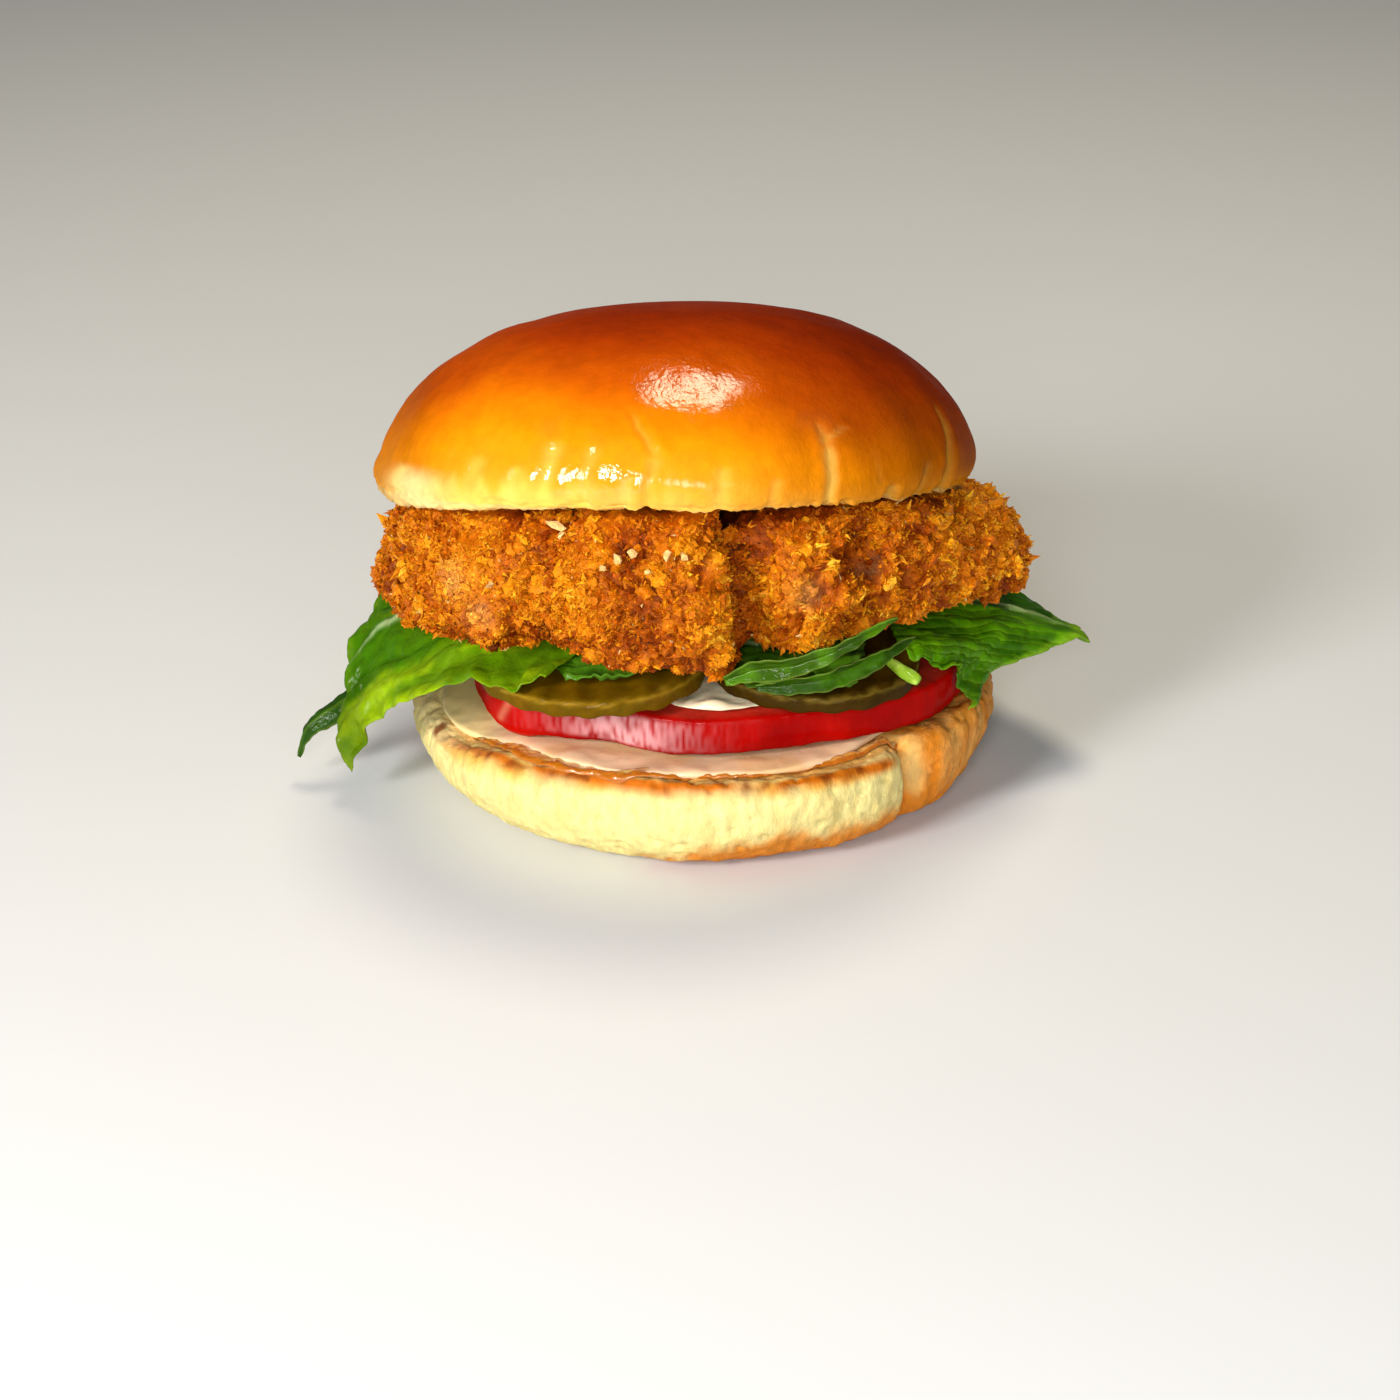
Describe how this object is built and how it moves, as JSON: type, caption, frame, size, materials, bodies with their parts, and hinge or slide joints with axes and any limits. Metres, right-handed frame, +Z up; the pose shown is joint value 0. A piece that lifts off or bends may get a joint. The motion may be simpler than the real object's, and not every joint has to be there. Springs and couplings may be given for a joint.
{
  "type": "chicken burger",
  "caption": "Fried chicken burger on a glazed bun with lettuce, crinkle-cut pickles, tomato, mayonnaise and pink sauce.",
  "frame": {"origin": "centre of the lower bun's flat base, where it rests", "axes": "+X towards the burger's right side, +Y towards its back, +Z up"},
  "size_m": [0.14, 0.1052, 0.0855],
  "materials": {
    "toasted_bread": "soft toasted crumb, satin",
    "glazed_bread": "egg-glazed golden brown crust, glossy",
    "pink_sauce": "creamy, wet",
    "tomato_flesh": "wet, glossy",
    "white_mayonnaise": "creamy, wet",
    "pickle_flesh": "wet, slightly clear",
    "bright_leaf": "waxy leaf, satin",
    "dark_leaf": "waxy leaf, satin",
    "leaf_rib": "waxy rib, satin",
    "fried_breading": "crisp, rough, slightly oily"
  },
  "bodies": {
    "root": {"bun_bottom": "toasted_bread", "bun_top": "glazed_bread", "sauce": "pink_sauce", "tomato": "tomato_flesh", "mayo": "white_mayonnaise", "pickle_left": "pickle_flesh", "pickle_right": "pickle_flesh", "chicken": "fried_breading", "lettuce_left": "bright_leaf", "lettuce_right": "bright_leaf", "lettuce_center": "dark_leaf", "lettuce_front": "dark_leaf", "lettuce_strip_long": "bright_leaf", "lettuce_strip_short": "dark_leaf", "lettuce_curl": "dark_leaf", "lettuce_rib": "leaf_rib"}
  },
  "joints": []
}
